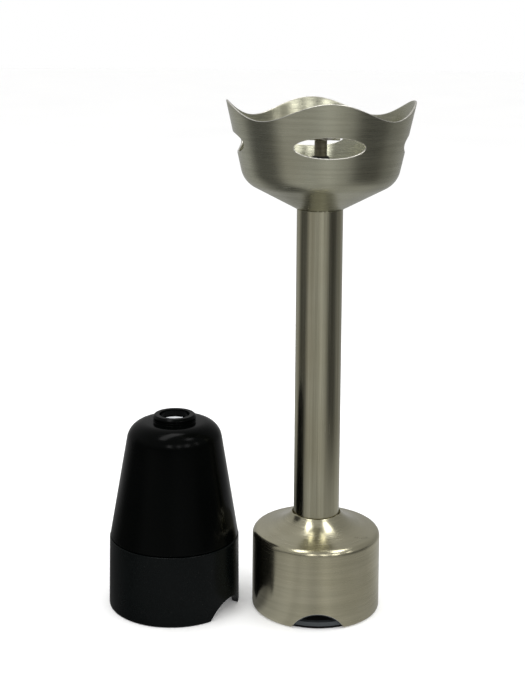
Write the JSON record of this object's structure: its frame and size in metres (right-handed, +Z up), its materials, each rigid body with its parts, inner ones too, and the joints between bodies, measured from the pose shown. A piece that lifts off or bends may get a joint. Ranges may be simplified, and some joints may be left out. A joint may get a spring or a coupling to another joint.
{
  "type": "immersion blender attachment pair",
  "caption": "Steel blending shaft upside down on its coupling collar, scalloped slotted bell up, beside a cone-shaped whisk gearbox adapter with a geared drive.",
  "frame": {"origin": "middle of the pair's bounding box on the table that both attachments stand on", "axes": "+Z up along both axes; the adapter stands towards -X of the blending shaft; -Y faces the side with the shaft collar's notch"},
  "size_m": [0.1215, 0.0748, 0.205],
  "materials": {
    "brushed_shell": "brushed round the axis",
    "tube_steel": "lengthwise grain",
    "black_plastic": "satin, fine moulded texture",
    "black_gloss": "smooth gloss",
    "dark_steel": "machined",
    "inner_steel": "fine machined",
    "bronze": "sintered bronze",
    "grey_plastic": "matte",
    "white_plastic": "matte acetal",
    "rubber": "matte",
    "spindle_metal": "turned end"
  },
  "bodies": {
    "blending_shaft": {"bell_guard": "brushed_shell", "shaft_tube": "tube_steel", "coupling_collar": "brushed_shell", "coupling_insert": "black_plastic", "tube_flange": "dark_steel", "insert_screw_1": "dark_steel", "insert_screw_2": "dark_steel", "insert_screw_3": "dark_steel", "lower_bearing_carrier": "grey_plastic", "lower_bush": "bronze", "shaft_guide": "white_plastic", "bearing_housing": "inner_steel", "upper_bush": "bronze", "tube_seal_ring": "rubber", "lip_seal": "rubber", "seal_retainer": "inner_steel"},
    "blade_drive": {"drive_shaft": "dark_steel", "drive_coupler": "black_plastic", "coupler_pin": "dark_steel", "thrust_washer": "dark_steel", "shaft_clip": "dark_steel", "blade": "inner_steel", "blade_cap": "inner_steel"},
    "adapter": {"base_skirt": "black_plastic", "cone_housing": "black_gloss", "gearbox_plate": "dark_steel", "input_bush": "bronze", "ring_gear": "grey_plastic", "housing_screw_1": "dark_steel", "housing_screw_2": "dark_steel", "housing_screw_3": "dark_steel", "output_bush": "bronze", "output_seal": "rubber"},
    "gearbox_input": {"input_coupler": "black_plastic", "input_shaft": "dark_steel", "input_pin": "dark_steel", "sun_gear": "dark_steel"},
    "stage_1_carrier": {"carrier_1": "white_plastic", "planet_pin_1a": "dark_steel", "planet_pin_1b": "dark_steel", "planet_pin_1c": "dark_steel"},
    "whisk_output": {"carrier_2": "dark_steel", "planet_pin_2a": "dark_steel", "planet_pin_2b": "dark_steel", "planet_pin_2c": "dark_steel", "whisk_spindle": "spindle_metal", "spindle_clip": "dark_steel"},
    "planet_1a_body": {"planet_1a": "white_plastic"},
    "planet_1b_body": {"planet_1b": "white_plastic"},
    "planet_1c_body": {"planet_1c": "white_plastic"},
    "planet_2a_body": {"planet_2a": "white_plastic"},
    "planet_2b_body": {"planet_2b": "white_plastic"},
    "planet_2c_body": {"planet_2c": "white_plastic"}
  },
  "joints": [
    {"name": "blade_spin", "type": "hinge", "parent": "blending_shaft", "child": "blade_drive", "pos_m": [0.0233, 0, 0.1], "axis": [0, 0, 1], "continuous": true},
    {"name": "adapter_slide", "type": "slide", "parent": "blending_shaft", "child": "adapter", "axis": [-1, 0, 0], "range_m": [0, 0.12]},
    {"name": "gearbox_input_spin", "type": "hinge", "parent": "adapter", "child": "gearbox_input", "pos_m": [-0.0344, 0.0017, 0.03], "axis": [0, 0, 1], "continuous": true},
    {"name": "stage_1_spin", "type": "hinge", "parent": "adapter", "child": "stage_1_carrier", "pos_m": [-0.0344, 0.0017, 0.04], "axis": [0, 0, 1], "continuous": true},
    {"name": "whisk_spin", "type": "hinge", "parent": "adapter", "child": "whisk_output", "pos_m": [-0.0344, 0.0017, 0.06], "axis": [0, 0, 1], "continuous": true},
    {"name": "planet_1a_spin", "type": "hinge", "parent": "stage_1_carrier", "child": "planet_1a_body", "pos_m": [-0.0239, 0.0017, 0.035], "axis": [0, 0, 1], "continuous": true},
    {"name": "planet_1b_spin", "type": "hinge", "parent": "stage_1_carrier", "child": "planet_1b_body", "pos_m": [-0.03965, 0.01079, 0.035], "axis": [0, 0, 1], "continuous": true},
    {"name": "planet_1c_spin", "type": "hinge", "parent": "stage_1_carrier", "child": "planet_1c_body", "pos_m": [-0.03965, -0.00739, 0.035], "axis": [0, 0, 1], "continuous": true},
    {"name": "planet_2a_spin", "type": "hinge", "parent": "whisk_output", "child": "planet_2a_body", "pos_m": [-0.0239, 0.0017, 0.045], "axis": [0, 0, 1], "continuous": true},
    {"name": "planet_2b_spin", "type": "hinge", "parent": "whisk_output", "child": "planet_2b_body", "pos_m": [-0.03965, 0.01079, 0.045], "axis": [0, 0, 1], "continuous": true},
    {"name": "planet_2c_spin", "type": "hinge", "parent": "whisk_output", "child": "planet_2c_body", "pos_m": [-0.03965, -0.00739, 0.045], "axis": [0, 0, 1], "continuous": true}
  ],
  "couplings": [
    {"joint": "stage_1_spin", "follows": "gearbox_input_spin", "ratio": 0.28571},
    {"joint": "whisk_spin", "follows": "gearbox_input_spin", "ratio": 0.081633},
    {"joint": "planet_1a_spin", "follows": "gearbox_input_spin", "ratio": -0.95238},
    {"joint": "planet_1b_spin", "follows": "gearbox_input_spin", "ratio": -0.95238},
    {"joint": "planet_1c_spin", "follows": "gearbox_input_spin", "ratio": -0.95238},
    {"joint": "planet_2a_spin", "follows": "gearbox_input_spin", "ratio": -0.27211},
    {"joint": "planet_2b_spin", "follows": "gearbox_input_spin", "ratio": -0.27211},
    {"joint": "planet_2c_spin", "follows": "gearbox_input_spin", "ratio": -0.27211}
  ]
}
